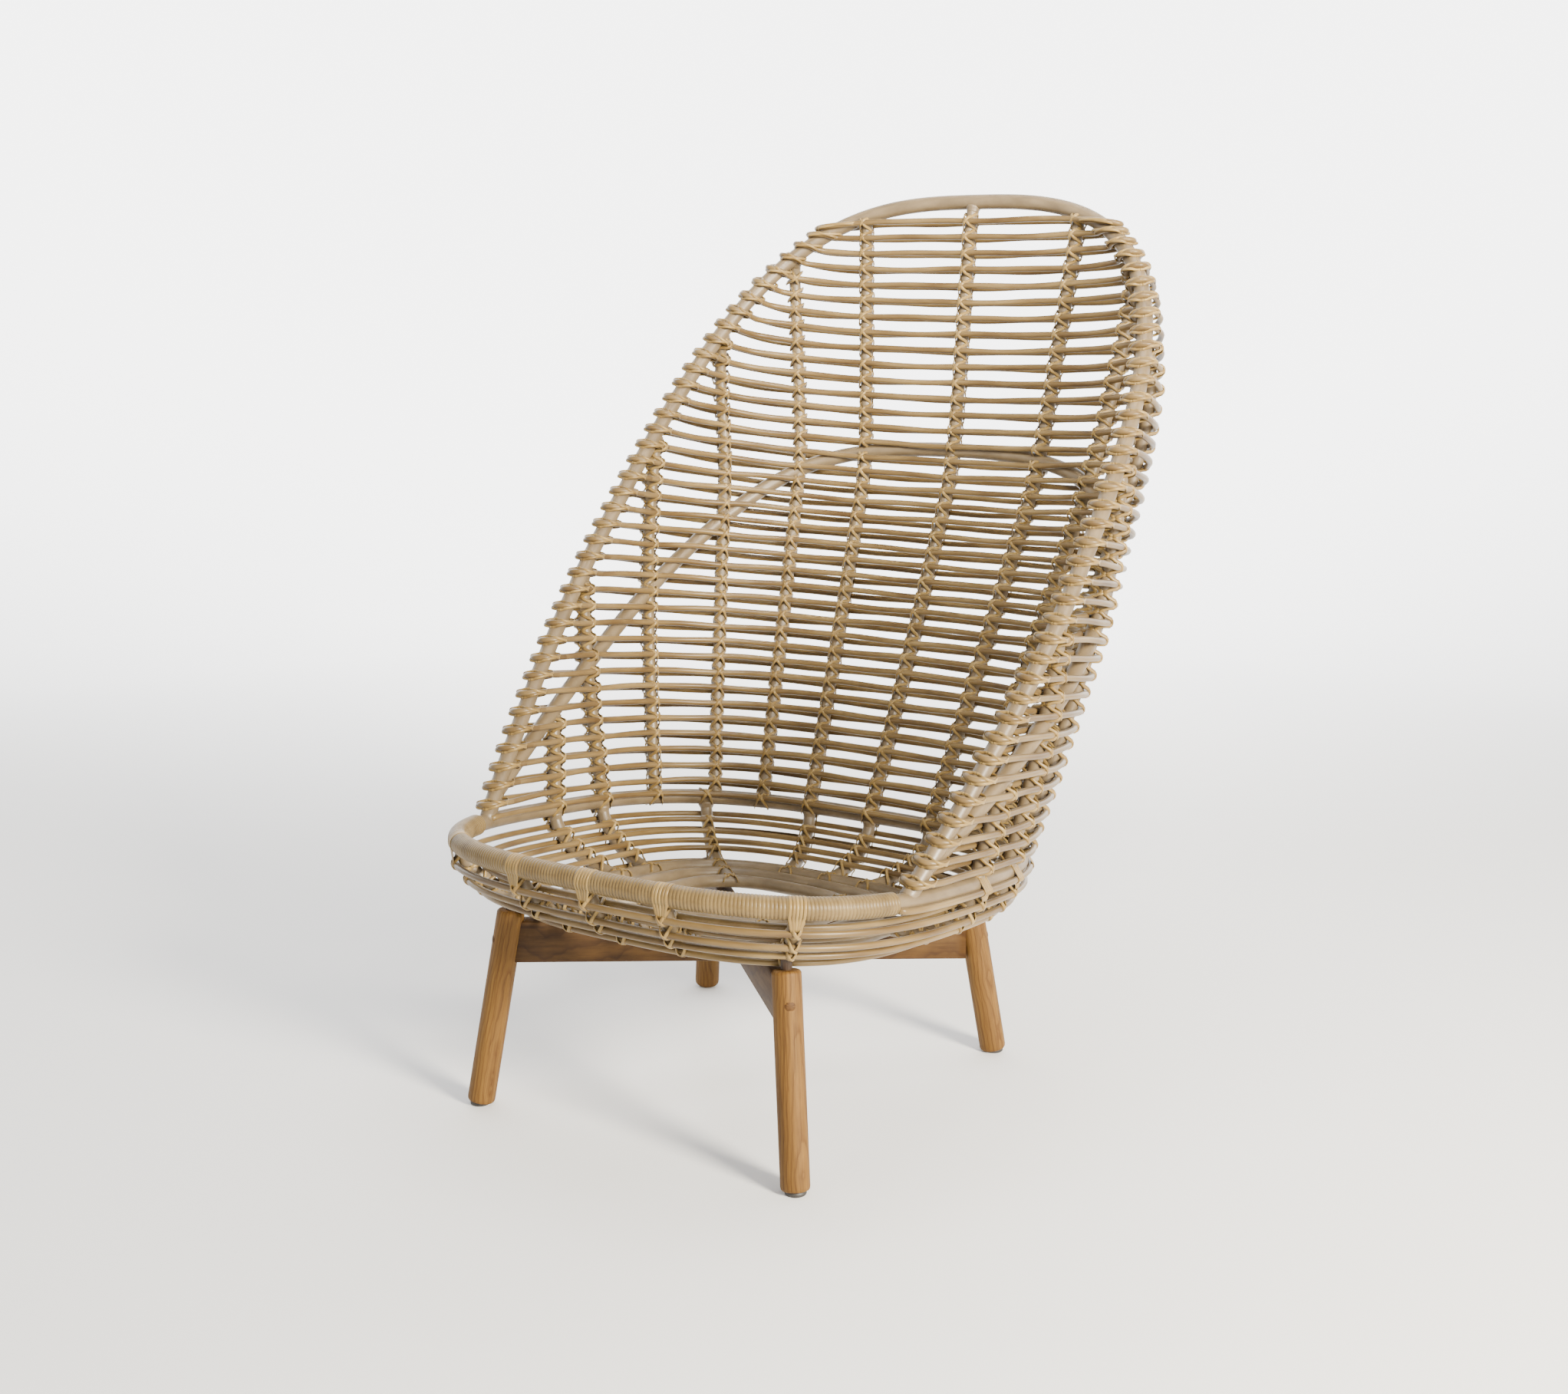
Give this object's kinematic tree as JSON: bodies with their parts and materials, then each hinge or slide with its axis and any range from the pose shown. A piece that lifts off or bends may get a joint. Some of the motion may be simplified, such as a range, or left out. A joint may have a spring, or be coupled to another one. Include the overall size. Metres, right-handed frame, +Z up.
{
  "type": "peacock chair",
  "caption": "High-back woven lounge chair: a leaning hooded shell of round cane on a tube frame, over a bowl seat, on splayed round wooden legs with crossed rails.",
  "frame": {"origin": "middle of the overall footprint, on the floor", "axes": "+Z up, the seat opens towards -Y, +X to the left of someone sitting in it"},
  "size_m": [0.8067, 0.9934, 1.1849],
  "materials": {
    "frame_tube": "powder coat in a warm beige",
    "cane": "round synthetic cane, satin with fine grain",
    "flat_cane": "flat synthetic cane, satin",
    "leg_wood": "oiled hardwood",
    "plug_wood": "end-grain plug, oiled",
    "dark_plastic": "dark matte"
  },
  "bodies": {
    "root": {"back_arch_tube": "frame_tube", "back_weave_1": "cane", "back_weave_2": "cane", "back_weave_3": "cane", "back_weave_4": "cane", "back_weave_5": "cane", "back_weave_6": "cane", "back_weave_7": "cane", "back_weave_8": "cane", "back_weave_9": "cane", "bowl_weave_floor": "cane", "bowl_weave_inner": "cane", "bowl_weave_outer": "cane", "cross_rail_lower": "leg_wood", "cross_rail_upper": "leg_wood", "floor_glide_bl": "dark_plastic", "floor_glide_br": "dark_plastic", "floor_glide_fl": "dark_plastic", "floor_glide_fr": "dark_plastic", "front_rail_winding": "flat_cane", "hoop_tube": "frame_tube", "leg_bl": "leg_wood", "leg_br": "leg_wood", "leg_fl": "leg_wood", "leg_fr": "leg_wood", "leg_plug_bl": "plug_wood", "leg_plug_br": "plug_wood", "leg_plug_fl": "plug_wood", "leg_plug_fr": "plug_wood", "leg_spacer_bl": "dark_plastic", "leg_spacer_br": "dark_plastic", "leg_spacer_fl": "dark_plastic", "leg_spacer_fr": "dark_plastic", "rib_lower_left_1": "frame_tube", "rib_lower_left_2": "frame_tube", "rib_lower_left_3": "frame_tube", "rib_lower_left_4": "frame_tube", "rib_lower_left_5": "frame_tube", "rib_lower_left_6": "frame_tube", "rib_lower_middle": "frame_tube", "rib_lower_right_1": "frame_tube", "rib_lower_right_2": "frame_tube", "rib_lower_right_3": "frame_tube", "rib_lower_right_4": "frame_tube", "rib_lower_right_5": "frame_tube", "rib_lower_right_6": "frame_tube", "rib_upper_left_1": "frame_tube", "rib_upper_left_2": "frame_tube", "rib_upper_left_3": "frame_tube", "rib_upper_left_4": "frame_tube", "rib_upper_left_5": "frame_tube", "rib_upper_middle": "frame_tube", "rib_upper_right_1": "frame_tube", "rib_upper_right_2": "frame_tube", "rib_upper_right_3": "frame_tube", "rib_upper_right_4": "frame_tube", "rib_upper_right_5": "frame_tube", "seat_ring_tube": "frame_tube", "seat_spider": "frame_tube"}
  },
  "joints": []
}
